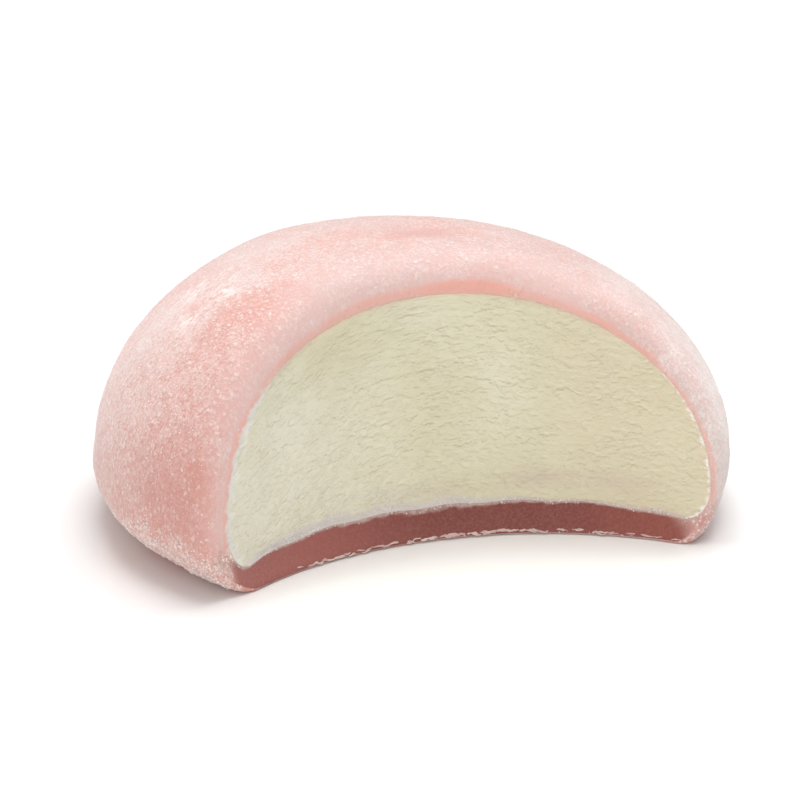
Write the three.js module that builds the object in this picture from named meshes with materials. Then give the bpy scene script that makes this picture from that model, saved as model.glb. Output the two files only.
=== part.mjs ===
// A mochi ice cream with one bite taken out: a thin skin of rice dough round a
// dome of ice cream. Millimetres, +Z up. The dome stands on its flat foot and
// the bite faces -Y.
//
// Every surface is described by its distance from one core point, along rays
// that leave the core at an angle `away` from -Y and an angle `around` -Y,
// where around = 0 points up. A boundary of the bite is then a closed curve of
// one `away` angle for each `around` angle, and the rows of each mesh follow it.

import * as THREE from 'three';
import { ParametricGeometry } from 'three/addons/geometries/ParametricGeometry.js';
import { mergeVertices } from 'three/addons/utils/BufferGeometryUtils.js';

// The whole dome
const domeRadius = 25;
const domeHeight = 22.3;
const widestHeight = 4.4;
const footRadius = 20.5;
const footSkew = 1.3;
const cornerSpread = 1.3;
const cornerSpreadStart = 9.5;
const cornerSpreadEnd = 14;
const upperCurve = 2.08;
const lowerCurve = 1.98;
const topTilt = 0.027;

// The dough skin, whose ice cream lies a little towards +X
const skinAtSide = 1.45;
const skinAtTop = 2.75;
const skinAtBase = 2.3;
const baseSkinThinning = 0.6;
const baseSkinHalfWidth = 17;
const baseRipple = 0.07;
const baseRippleLength = 5.2;
const creamShift = 1.1;
const creamFrontRound = 2.6;
const creamRearRound = 6;

// The bite, a wall of an upright oval column that leans back slightly and
// flares forward at its foot
const biteCentreX = 0.6;
const biteCentreY = -34.05;
const biteHalfWidth = 27.5;
const biteHalfDepth = 27.25;
const biteLean = 0.085;
const biteFootFlare = 1.5;
const biteFlareHeight = 2.3;
const biteFlareCurve = 1.5;

// How far the skin rolls over at the edge of the bite
const lipRollAtTop = 3.4;
const lipRollAtSide = 1.9;
const lipRollAtBase = 0.9;
const creamEdgeRoll = 0.4;

// Clearance between the ice cream and the skin
const clearance = 0.35;

// Soft swells and hollows of the hand-made skin, placed on the dome's plan
const swells = [
  { name: 'left shoulder', x: -14, y: -2, spread: 7, rise: 0.3 },
  { name: 'right shoulder', x: 12, y: -3, spread: 6, rise: 0.22 },
  { name: 'right front', x: 19, y: -12, spread: 7, rise: 0.6 },
  { name: 'crown dimple', x: 1.5, y: 2.5, spread: 2.4, rise: -0.45 },
  { name: 'rear flat', x: 6, y: 15, spread: 8, rise: -0.35 },
  { name: 'rear bulge', x: -8, y: 16, spread: 6, rise: 0.3 },
  { name: 'left hollow', x: -20, y: 6, spread: 6, rise: -0.2 },
];
const swellFadeLow = 1.5;
const swellFadeHigh = 9;

// Shallow waves that a spoon-cold filling keeps on its bitten face
const biteWaveHeight = 0.09;
const biteWaveLength = 6.5;

// The core point of all rays, and the meshes' fineness
const core = new THREE.Vector3(0, 12, 9);
const columns = 84;
const sideCrowding = 0.25;
const lowerCrowding = 0.2;
const skinRows = { outside: 27, lip: 6 };
const cavityRows = 16;
const creamRows = { edge: 2, face: 10 };
const edgeCrowding = 1.3;
const farthest = 60;
const halvings = 40;

function smoothStep(low, high, value) {
  return THREE.MathUtils.smoothstep(value, low, high);
}

function rayDirection(away, around) {
  return new THREE.Vector3(
    Math.sin(away) * Math.sin(around),
    -Math.cos(away),
    Math.sin(away) * Math.cos(around),
  );
}

function pointAt(direction, distance) {
  return core.clone().addScaledVector(direction, distance);
}

// The last place, from near to far, where a test still holds
function lastTrue(test, near, far) {
  let yes = near;
  let no = far;
  for (let i = 0; i < halvings; i += 1) {
    const middle = (yes + no) / 2;
    if (test(middle)) {
      yes = middle;
    } else {
      no = middle;
    }
  }
  return (yes + no) / 2;
}

// A round-shouldered dome's section, tested at one radius and height. Above its
// widest height it is one oval, below it a smaller one that ends on the foot.
function insideDome(radius, height, dome) {
  if (height >= dome.widestHeight) {
    const across = (radius / dome.radius) ** dome.upperCurve;
    const up = (height - dome.widestHeight) / (dome.height - dome.widestHeight);
    return across + up ** dome.upperCurve < 1;
  }
  const across = Math.max(radius - dome.footRadius, 0) / (dome.radius - dome.footRadius);
  const down = (dome.widestHeight - height) / (dome.widestHeight - dome.baseHeight);
  return across ** dome.lowerCurve + down ** dome.lowerCurve < 1;
}

function swellAt(point) {
  let rise = 0;
  for (const swell of swells) {
    const distance = Math.hypot(point.x - swell.x, point.y - swell.y) / swell.spread;
    rise += swell.rise * Math.exp(-distance * distance);
  }
  return rise * smoothStep(swellFadeLow, swellFadeHigh, point.z);
}

function tiltedHeight(point) {
  return point.z * (1 + topTilt * point.x / domeRadius);
}

// The flat foot reaches further out to +X and at the two corners of the bite
function footRadiusAt(point) {
  const spread = cornerSpread * smoothStep(cornerSpreadStart, cornerSpreadEnd, -point.y);
  return footRadius + footSkew * point.x / domeRadius + spread;
}

function outsideDistance(direction) {
  const toFloor = direction.z < 0 ? Math.min(-core.z / direction.z, farthest) : farthest;
  const inside = (distance) => {
    const point = pointAt(direction, distance);
    return insideDome(Math.hypot(point.x, point.y), tiltedHeight(point), {
      radius: domeRadius,
      height: domeHeight,
      widestHeight,
      footRadius: footRadiusAt(point),
      baseHeight: 0,
      upperCurve,
      lowerCurve,
    });
  };
  const distance = lastTrue(inside, 0, toFloor);
  return distance + swellAt(pointAt(direction, distance));
}

// The skin under the ice cream thins towards its two ends and ripples a little
function baseSkinAt(x) {
  const fromMiddle = (x - creamShift) / baseSkinHalfWidth;
  const ripple = baseRipple * Math.sin(2 * Math.PI * x / baseRippleLength);
  return skinAtBase - baseSkinThinning * Math.min(fromMiddle ** 4, 1.5) + ripple;
}

// The room for the ice cream, drawn in all round by `inset`
function cavityDistance(direction, inset) {
  const radius = domeRadius - skinAtSide - inset;
  const inside = (distance) => {
    const point = pointAt(direction, distance);
    const rear = smoothStep(-8, 8, point.y);
    const lowerRound = THREE.MathUtils.lerp(creamFrontRound, creamRearRound, rear);
    const baseHeight = baseSkinAt(point.x) + inset;
    if (point.z < baseHeight) {
      return false;
    }
    return insideDome(Math.hypot(point.x - creamShift, point.y), tiltedHeight(point), {
      radius,
      height: domeHeight - skinAtTop - inset,
      widestHeight,
      footRadius: radius - lowerRound,
      baseHeight,
      upperCurve,
      lowerCurve,
    });
  };
  return lastTrue(inside, 0, farthest);
}

// How far the bite's wall stands forward near its foot
function footFlareAt(height) {
  const share = THREE.MathUtils.clamp(1 - height / biteFlareHeight, 0, 1);
  return biteFootFlare * share ** biteFlareCurve;
}

// How deep a point lies in the bite, below 0 in front of the bite's wall
function depthInBite(point) {
  const across = (point.x - biteCentreX) / biteHalfWidth;
  const wall = biteCentreY + biteLean * point.z - footFlareAt(point.z);
  const along = (point.y - wall) / biteHalfDepth;
  return biteHalfWidth * (1 - Math.hypot(across, along));
}

// The larger of two depths, rounded off over the width `roll`
function rolledEdge(one, other, roll) {
  const near = Math.max(roll - Math.abs(one - other), 0);
  return Math.max(one, other) + near * near / (4 * roll);
}

// Where a ray ends that leaves through a surface or, before it, through the bite
function bittenDistance(direction, surface, rollAt, waveAt) {
  const inside = (distance) => {
    const point = pointAt(direction, distance);
    return rolledEdge(distance - surface, depthInBite(point) + waveAt(point), rollAt(point)) < 0;
  };
  return lastTrue(inside, 0, surface);
}

function lipRollAt(point) {
  const up = smoothStep(1.5, 1.5 + 0.75 * domeHeight, point.z);
  const roll = THREE.MathUtils.lerp(lipRollAtSide, lipRollAtTop, up);
  return THREE.MathUtils.lerp(lipRollAtBase, roll, THREE.MathUtils.clamp(point.z / 3, 0, 1));
}

function skinDistance(direction) {
  return bittenDistance(direction, outsideDistance(direction), lipRollAt, () => 0);
}

function biteWaveAt(point) {
  const turn = 2 * Math.PI / biteWaveLength;
  return biteWaveHeight * Math.abs(Math.sin(turn * (point.z + 0.35 * point.x)) * Math.cos(0.6 * turn * point.x));
}

function creamDistance(direction) {
  return bittenDistance(direction, cavityDistance(direction, clearance), () => creamEdgeRoll, biteWaveAt);
}

// The edges of the bite, each as the `away` angle up to which a ray is bitten
function edgeAway(around, bitten) {
  return lastTrue((away) => bitten(rayDirection(away, around)), 0.05, 0.75 * Math.PI);
}

function outerEdgeAway(around) {
  return edgeAway(around, (ray) => depthInBite(pointAt(ray, outsideDistance(ray))) > 0);
}

function innerEdgeAway(around) {
  return edgeAway(around, (ray) => skinDistance(ray) < cavitySurface(ray));
}

function creamEdgeAway(around) {
  return edgeAway(around, (ray) => depthInBite(pointAt(ray, creamRoom(ray))) > 0);
}

// The columns stand closest where the bite turns its two lower corners
function columnAngle(column) {
  const even = 2 * Math.PI * column / columns;
  return even + sideCrowding * Math.sin(2 * even) + lowerCrowding * Math.sin(even);
}

// A closed surface whose rows run over a list of stretches. Each stretch has a
// number of rows and gives a point for a column's angle and a share of its way
// between the column's edges, which `edgesAt` finds.
function closedSurface(edgesAt, stretches) {
  const rows = stretches.reduce((sum, stretch) => sum + stretch.rows, 0);
  const edges = new Map();
  const place = (u, v, target) => {
    const column = Math.round(u * columns) % columns;
    const around = -columnAngle(column);
    if (!edges.has(column)) {
      edges.set(column, edgesAt(around));
    }
    let row = Math.round(v * rows);
    let index = 0;
    while (row > stretches[index].rows) {
      row -= stretches[index].rows;
      index += 1;
    }
    const share = row / stretches[index].rows;
    target.copy(stretches[index].pointAt(edges.get(column), around, share));
  };
  const grid = new ParametricGeometry(place, columns, rows);
  grid.deleteAttribute('normal');
  grid.deleteAttribute('uv');
  return withoutSlivers(mergeVertices(grid, 1e-4));
}

// Drops the triangles that the merging at a pole has closed up
function withoutSlivers(geometry) {
  const index = geometry.getIndex();
  const kept = [];
  for (let i = 0; i < index.count; i += 3) {
    const corners = [index.getX(i), index.getX(i + 1), index.getX(i + 2)];
    if (new Set(corners).size === 3) {
      kept.push(...corners);
    }
  }
  geometry.setIndex(kept);
  geometry.computeVertexNormals();
  return geometry;
}

function surfacePoint(distanceOf, away, around) {
  const direction = rayDirection(away, around);
  const point = pointAt(direction, distanceOf(direction));
  if (Math.abs(point.z) < 1e-4) {
    point.z = 0;
  }
  return point;
}

// From `start` to `end`, with the steps crowded towards the end
function crowded(start, end, share) {
  return THREE.MathUtils.lerp(start, end, 1 - (1 - share) ** edgeCrowding);
}

function cavitySurface(direction) {
  return cavityDistance(direction, 0);
}

function creamRoom(direction) {
  return cavityDistance(direction, clearance);
}

function doughSkin() {
  const edgesAt = (around) => ({ outer: outerEdgeAway(around), inner: innerEdgeAway(around) });
  return closedSurface(edgesAt, [
    {
      rows: skinRows.outside,
      pointAt: (edge, around, share) =>
        surfacePoint(skinDistance, crowded(Math.PI, edge.outer, share), around),
    },
    {
      rows: skinRows.lip,
      pointAt: (edge, around, share) =>
        surfacePoint(skinDistance, THREE.MathUtils.lerp(edge.outer, edge.inner, share), around),
    },
    {
      rows: cavityRows,
      pointAt: (edge, around, share) =>
        surfacePoint(cavitySurface, crowded(Math.PI, edge.inner, 1 - share), around),
    },
  ]);
}

// The ice cream's rows are the cavity's, so that the clearance stays even
function iceCream() {
  const edgesAt = (around) => ({ inner: innerEdgeAway(around), rim: creamEdgeAway(around) });
  return closedSurface(edgesAt, [
    {
      rows: cavityRows,
      pointAt: (edge, around, share) =>
        surfacePoint(creamDistance, crowded(Math.PI, edge.inner, share), around),
    },
    {
      rows: creamRows.edge,
      pointAt: (edge, around, share) =>
        surfacePoint(creamDistance, THREE.MathUtils.lerp(edge.inner, edge.rim, share), around),
    },
    {
      rows: creamRows.face,
      pointAt: (edge, around, share) =>
        surfacePoint(creamDistance, THREE.MathUtils.lerp(edge.rim, 0, share), around),
    },
  ]);
}

function namedMesh(name, geometry, colour, roughness) {
  const material = new THREE.MeshStandardMaterial({ color: colour, roughness, metalness: 0 });
  const mesh = new THREE.Mesh(geometry, material);
  mesh.name = name;
  return mesh;
}

// The origin is the middle of the whole's outline, on the surface it stands on
function centredOnBase(group) {
  const box = new THREE.Box3().setFromObject(group);
  const middle = box.getCenter(new THREE.Vector3());
  group.position.set(-middle.x, -middle.y, 0);
  return group;
}

const group = new THREE.Group();
group.add(namedMesh('dough_skin', doughSkin(), '#ecc5be', 0.85));
group.add(namedMesh('ice_cream', iceCream(), '#ddd6ba', 0.7));

export default centredOnBase(group);
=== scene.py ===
# A mochi ice cream with one bite taken out: a skin of pink rice dough, dusted with
# starch, round pale ice cream. The shape's sizes are in millimetres and become metres
# where a mesh is made. Each surface of the dough and the ice cream is a distance from
# one core point, along rays that leave it at an angle "away" from -Y and an angle
# "around" -Y, 0 being up.
import math

import bmesh
import bpy
import numpy as np
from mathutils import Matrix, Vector


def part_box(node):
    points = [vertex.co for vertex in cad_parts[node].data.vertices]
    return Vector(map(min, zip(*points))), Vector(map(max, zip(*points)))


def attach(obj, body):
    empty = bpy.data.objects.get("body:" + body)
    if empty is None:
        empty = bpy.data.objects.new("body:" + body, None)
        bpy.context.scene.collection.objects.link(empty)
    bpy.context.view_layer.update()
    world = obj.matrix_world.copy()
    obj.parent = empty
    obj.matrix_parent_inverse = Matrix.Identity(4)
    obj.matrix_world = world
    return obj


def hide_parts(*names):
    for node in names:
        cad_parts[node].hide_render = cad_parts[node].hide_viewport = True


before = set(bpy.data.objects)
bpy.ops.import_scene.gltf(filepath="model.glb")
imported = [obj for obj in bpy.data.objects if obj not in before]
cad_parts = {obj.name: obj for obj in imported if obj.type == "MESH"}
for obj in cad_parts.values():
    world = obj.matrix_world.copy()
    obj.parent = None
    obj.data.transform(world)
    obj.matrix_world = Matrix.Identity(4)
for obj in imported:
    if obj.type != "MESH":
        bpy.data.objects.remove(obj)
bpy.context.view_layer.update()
metre = 0.001
sharpestBend = 62.0  # degrees

dome = {
    "radius": 25.0,
    "height": 22.3,
    "widestHeight": 4.4,
    "footRadius": 20.5,
    "footSkew": 1.3,
    "cornerSpread": 1.3,
    "spreadStart": 9.5,
    "spreadEnd": 14.0,
    "upperCurve": 2.08,
    "lowerCurve": 1.98,
    "topTilt": 0.027,
}

skin = {
    "side": 1.45,
    "top": 2.75,
    "base": 2.3,
    "baseThinning": 0.6,
    "baseHalfWidth": 17.0,
    "ripple": 0.07,
    "rippleLength": 5.2,
    "creamShift": 1.1,
    "frontRound": 2.6,
    "rearRound": 6.0,
    "roundStart": -8.0,
    "roundEnd": 8.0,
}

bite = {
    "centreX": 0.6,
    "centreY": -34.05,
    "halfWidth": 27.5,
    "halfDepth": 27.25,
    "lean": 0.085,
    "footFlare": 1.5,
    "flareHeight": 2.3,
    "flareCurve": 1.5,
    "rollAtTop": 3.4,
    "rollAtSide": 1.9,
    "rollAtBase": 0.9,
    "rollStart": 1.5,
    "rollRise": 0.75,
    "baseRollHeight": 3.0,
    "creamRoll": 0.1,
}

# x, y, spread and rise of the soft swells that hands leave in the dough
swells = [
    (-14.0, -2.0, 7.0, 0.30),
    (12.0, -3.0, 6.0, 0.22),
    (19.0, -12.0, 7.0, 0.60),
    (1.5, 2.5, 2.4, -0.45),
    (6.0, 15.0, 8.0, -0.35),
    (-8.0, 16.0, 6.0, 0.30),
    (-20.0, 6.0, 6.0, -0.20),
]

swellHeights = (1.5, 9.0)  # they start and are full at these heights

core = np.array([0.0, 12.0, 9.0])
farthest = 60.0
halvings = 34  # of the span in which a surface is looked for
edgeSearch = (0.05, 0.75 * math.pi)  # the bite's edge lies between these angles away from -Y


def smoothStep(low, high, value):
    share = np.clip((value - low) / (high - low), 0.0, 1.0)
    return share * share * (3.0 - 2.0 * share)


def mix(one, other, share):
    return one + (other - one) * share


def rayDirection(away, around):
    x = np.sin(away) * np.sin(around)
    y = -np.cos(away) + 0.0 * around
    z = np.sin(away) * np.cos(around)
    return np.stack([x, y, z], axis=-1)


def pointAt(direction, distance):
    return core + direction * distance[..., None]


def lastTrue(test, near, far):
    # the last place from near to far where a test still holds, by halving
    for step in range(halvings):
        middle = (near + far) / 2.0
        holds = test(middle)
        near = np.where(holds, middle, near)
        far = np.where(holds, far, middle)
    return (near + far) / 2.0


def insideDome(across, height, radius, top, foot, base):
    widest = dome["widestHeight"]
    upper = (across / radius) ** dome["upperCurve"]
    upper = upper + (np.maximum(height - widest, 0.0) / (top - widest)) ** dome["upperCurve"]
    lower = (np.maximum(across - foot, 0.0) / (radius - foot)) ** dome["lowerCurve"]
    lower = lower + (np.maximum(widest - height, 0.0) / (widest - base)) ** dome["lowerCurve"]
    return np.where(height >= widest, upper, lower) < 1.0


def tiltedHeight(points):
    return points[..., 2] * (1.0 + dome["topTilt"] * points[..., 0] / dome["radius"])


def swellAt(points):
    rise = 0.0
    for x, y, spread, height in swells:
        distance = np.hypot(points[..., 0] - x, points[..., 1] - y) / spread
        rise = rise + height * np.exp(-distance * distance)
    return rise * smoothStep(*swellHeights, points[..., 2])


def footRadiusAt(points):
    # the flat foot reaches further out to +X and at the two corners of the bite
    share = smoothStep(dome["spreadStart"], dome["spreadEnd"], -points[..., 1])
    spread = dome["cornerSpread"] * share
    return dome["footRadius"] + dome["footSkew"] * points[..., 0] / dome["radius"] + spread


def outsideDistance(direction):
    down = np.minimum(direction[..., 2], -1e-9)
    toFloor = np.where(direction[..., 2] < 0.0, np.minimum(-core[2] / down, farthest), farthest)

    def inside(distance):
        points = pointAt(direction, distance)
        foot = footRadiusAt(points)
        across = np.hypot(points[..., 0], points[..., 1])
        return insideDome(across, tiltedHeight(points), dome["radius"], dome["height"], foot, 0.0)

    distance = lastTrue(inside, np.zeros_like(toFloor), toFloor)
    return distance + swellAt(pointAt(direction, distance))


def baseSkinAt(x):
    fromMiddle = (x - skin["creamShift"]) / skin["baseHalfWidth"]
    ripple = skin["ripple"] * np.sin(2.0 * math.pi * x / skin["rippleLength"])
    return skin["base"] - skin["baseThinning"] * np.minimum(fromMiddle ** 4, 1.5) + ripple


def cavityDistance(direction):
    radius = dome["radius"] - skin["side"]

    def inside(distance):
        points = pointAt(direction, distance)
        behind = smoothStep(skin["roundStart"], skin["roundEnd"], points[..., 1])
        lowerRound = mix(skin["frontRound"], skin["rearRound"], behind)
        base = baseSkinAt(points[..., 0])
        across = np.hypot(points[..., 0] - skin["creamShift"], points[..., 1])
        top = dome["height"] - skin["top"]
        fits = insideDome(across, tiltedHeight(points), radius, top, radius - lowerRound, base)
        return fits & (points[..., 2] > base)

    start = np.zeros(direction.shape[:-1])
    return lastTrue(inside, start, start + farthest)


def wallShiftAt(height):
    # the bite's wall leans back with its height and flares forward at its foot
    share = np.clip(1.0 - height / bite["flareHeight"], 0.0, 1.0)
    return bite["lean"] * height - bite["footFlare"] * share ** bite["flareCurve"]


def depthInBite(points):
    # how far a point lies inside the bite, below 0 behind the bite's wall
    across = (points[..., 0] - bite["centreX"]) / bite["halfWidth"]
    along = (points[..., 1] - bite["centreY"] - wallShiftAt(points[..., 2])) / bite["halfDepth"]
    return bite["halfWidth"] * (1.0 - np.hypot(across, along))


def wallPoint(x, z, lift):
    # a point on the bite's wall, lifted off it towards the viewer's side
    turn = np.clip((x - bite["centreX"]) / bite["halfWidth"], -0.999, 0.999)
    depth = np.sqrt(1.0 - turn * turn)
    y = bite["centreY"] + wallShiftAt(z) + bite["halfDepth"] * depth
    normal = np.stack([-turn / bite["halfWidth"], -depth / bite["halfDepth"], 0.0 * x], axis=-1)
    normal = normal / np.linalg.norm(normal, axis=-1, keepdims=True)
    return np.stack([x, y, z], axis=-1) + normal * np.asarray(lift)[..., None]


def rolledEdge(one, other, roll):
    near = np.maximum(roll - np.abs(one - other), 0.0)
    return np.maximum(one, other) + near * near / (4.0 * roll)


def bittenDistance(direction, surface, rollAt):
    # where a ray ends that leaves through a surface or, before it, through the bite
    def inside(distance):
        points = pointAt(direction, distance)
        return rolledEdge(distance - surface, depthInBite(points), rollAt(points)) < 0.0

    return lastTrue(inside, np.zeros_like(surface), surface)


def lipRollAt(points):
    height = points[..., 2]
    full = bite["rollStart"] + bite["rollRise"] * dome["height"]
    roll = mix(bite["rollAtSide"], bite["rollAtTop"], smoothStep(bite["rollStart"], full, height))
    return mix(bite["rollAtBase"], roll, np.clip(height / bite["baseRollHeight"], 0.0, 1.0))


def skinDistance(direction):
    return bittenDistance(direction, outsideDistance(direction), lipRollAt)


def creamDistance(direction):
    return bittenDistance(direction, cavityDistance(direction), lambda points: bite["creamRoll"])


def edgeAway(around, bitten):
    # the angle up to which a ray is bitten
    def test(away):
        return bitten(rayDirection(away, around))

    near, far = (np.full_like(around, angle) for angle in edgeSearch)
    return lastTrue(test, near, far)


def outerBitten(direction):
    return depthInBite(pointAt(direction, outsideDistance(direction))) > 0.0


def innerBitten(direction):
    return skinDistance(direction) < cavityDistance(direction)


def columnAngles(columns):
    # the columns stand closest where the bite turns its two lower corners
    even = -2.0 * math.pi * np.arange(columns) / columns
    return even + dough["sidePull"] * np.sin(2.0 * even) + dough["lowPull"] * np.sin(even)


def cellValue(cells, seed):
    mixed = (cells[..., 0] * 73856093) ^ (cells[..., 1] * 19349663) ^ (cells[..., 2] * 83492791)
    mixed = (mixed ^ (seed * 2654435761)) & 0xFFFFFFFF
    mixed = ((mixed ^ (mixed >> 15)) * 2246822519) & 0xFFFFFFFF
    mixed = ((mixed ^ (mixed >> 13)) * 3266489917) & 0xFFFFFFFF
    return (mixed ^ (mixed >> 16)) / 0xFFFFFFFF * 2.0 - 1.0


def softNoise(points, cell, seed):
    # smooth values from -1 to 1 that change over one cell's length
    place = points / cell
    low = np.floor(place).astype(np.int64)
    share = place - low
    share = share * share * share * (share * (share * 6.0 - 15.0) + 10.0)
    total = 0.0
    for corner in np.ndindex(2, 2, 2):
        weight = 1.0
        for axis in range(3):
            weight = weight * (share[..., axis] if corner[axis] else 1.0 - share[..., axis])
        total = total + weight * cellValue(low + np.array(corner), seed)
    return total


def layeredNoise(points, cell, seed, layers):
    total = 0.0
    for layer in range(layers):
        total = total + softNoise(points, cell / 2.0 ** layer, seed + layer) / 2.0 ** layer
    return total


def spot(points, centre, spread):
    offset = (points - np.array(centre)) / np.array(spread)
    return np.exp(-np.sum(offset * offset, axis=-1))


def withSpots(value, points, spots):
    for weight, centre, spread in spots:
        value = value + weight * spot(points, centre, spread)
    return value


def gridNormals(grid):
    # outward normals of a grid of rows by closed columns
    along = np.gradient(grid, axis=0)
    padded = np.concatenate([grid[:, -1:], grid, grid[:, :1]], axis=1)
    across = (padded[:, 2:] - padded[:, :-2]) / 2.0
    normal = np.cross(along, across)
    length = np.linalg.norm(normal, axis=-1, keepdims=True)
    return normal / np.maximum(length, 1e-12)


def newObject(name, data):
    piece = bpy.data.objects.new(name, data)
    bpy.context.scene.collection.objects.link(piece)
    return piece


def meshObject(name, points, faces):
    mesh = bpy.data.meshes.new(name)
    mesh.from_pydata((points * metre).tolist(), [], faces)
    mesh.validate()
    mesh.shade_smooth()
    mesh.set_sharp_from_angle(angle=math.radians(sharpestBend))
    return newObject(name, mesh)


def gridShape(grid, firstPole, lastPole, first=0):
    # rows by closed columns, shut at each end by a pole; the faces count from `first`
    rows, columns = grid.shape[:2]
    points = grid.reshape(-1, 3)
    index = np.arange(rows * columns).reshape(rows, columns) + first
    beside = np.roll(index, -1, axis=1)
    quads = np.stack([index[:-1], index[1:], beside[1:], beside[:-1]], axis=-1).reshape(-1, 4)
    faces = quads.tolist()
    for pole, ring in ((firstPole, 0), (lastPole, rows - 1)):
        points = np.vstack([points, pole[None]])
        tip = first + len(points) - 1
        for column in range(columns):
            pair = [int(index[ring, column]), int(beside[ring, column])]
            faces.append([tip] + (pair if ring == 0 else pair[::-1]))
    return points, faces


def setAttribute(piece, name, values):
    attribute = piece.data.attributes.new(name, "FLOAT", "POINT")
    values = np.asarray(values, dtype=np.float32).reshape(-1)
    short = len(attribute.data) - len(values)
    attribute.data.foreach_set("value", np.concatenate([values, np.zeros(short, np.float32)]))


def setPlaces(piece, name, places):
    attribute = piece.data.attributes.new(name, "FLOAT_VECTOR", "POINT")
    places = np.asarray(places, dtype=np.float32).reshape(-1)
    short = 3 * len(attribute.data) - len(places)
    attribute.data.foreach_set("vector", np.concatenate([places, np.zeros(short, np.float32)]))


dough = {
    "columns": 460,
    "sidePull": 0.25,
    "lowPull": 0.2,
    "outsideRows": 150,
    "lipRows": 26,
    "cavityRows": 7,
    "crowding": 1.25,
    "lumpSize": 4.5,
    "lumpHeight": 0.07,
    "grainSize": 0.9,
    "grainHeight": 0.035,
    "crustSize": 0.6,
    "crustHeight": 0.14,
    "scuffSize": 1.1,
    "scuffHeight": 0.08,
}
# Axes that lie across those of the piece, so that the patches behind it follow no line of its own
slantedAxes = np.array([[0.6, 0.64, 0.48], [-0.8, 0.48, 0.36], [0.0, -0.6, 0.8]])
scuffAxes = np.array([[0.3, 0.9, 1.4], [0.3, -1.4, 0.2], [1.2, 0.3, -0.6]])
# weight, place and spread of the soft spots where the dough's surface changes
doughSpots = {
    "pale": [(-0.6, (-2.0, 2.5, 22.0), (8.0, 3.0, 2.0))],
    "white": [
        (0.35, (-9.0, -3.5, 20.8), (3.5, 3.5, 2.5)),
        (-0.3, (12.8, -8.0, 18.5), (4.0, 4.0, 3.0)),
        (0.55, (-19.5, 2.5, 16.3), (3.5, 4.5, 3.5)),
        (0.5, (-12.5, 4.0, 20.3), (5.0, 4.0, 3.0)),
    ],
    "blush": [
        (0.6, (-21.8, -10.6, 7.6), (4.5, 5.5, 4.2)),
        (0.35, (-20.5, -13.5, 4.0), (4.0, 4.0, 3.0)),
        (0.15, (-24.0, 0.0, 5.0), (4.0, 6.0, 3.0)),
        (1.1, (1.8, 1.4, 22.2), (2.8, 1.7, 2.0)),
        (0.4, (-3.0, 3.0, 22.0), (4.0, 2.0, 2.0)),
        (0.9, (19.8, -14.0, 1.6), (2.2, 3.0, 1.8)),
        (0.3, (-17.3, -6.8, 16.2), (5.0, 5.0, 4.5)),
        (0.4, (13.0, 1.0, 18.5), (5.0, 5.0, 3.0)),
        (0.3, (17.0, -6.0, 15.8), (3.0, 4.0, 2.5)),
        (-0.35, (-10.5, -4.2, 20.4), (4.0, 3.5, 2.5)),
    ],
    "grit": [
        (0.36, (-17.3, -6.8, 16.2), (5.0, 5.0, 4.5)),
        (0.34, (-23.5, -3.0, 12.0), (4.0, 8.0, 6.0)),
        (0.15, (-3.0, 3.0, 22.0), (7.0, 3.0, 2.0)),
        (-0.3, (-21.8, -10.6, 7.6), (4.2, 4.5, 3.4)),
        (-0.45, (-17.0, 1.2, 18.4), (0.8, 0.9, 0.9)),
        (-0.5, (19.8, -14.0, 1.6), (2.2, 3.0, 1.8)),
    ],
    "crust": [
        (0.8, (-22.8, -9.0, 3.2), (2.6, 4.5, 1.7)),
        (0.9, (-20.2, -13.3, 2.2), (3.4, 3.5, 1.6)),
    ],
    "scuff": [
        (1.0, (-14.6, -0.8, 19.4), (1.2, 1.4, 1.2)),
        (0.9, (-16.6, 3.0, 18.5), (1.4, 2.0, 1.4)),
        (0.7, (-18.0, -1.2, 17.4), (1.6, 1.6, 1.6)),
    ],
}


def crowded(start, end, shares):
    return start + (end - start) * (1.0 - (1.0 - shares) ** dough["crowding"])[:, None]


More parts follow.
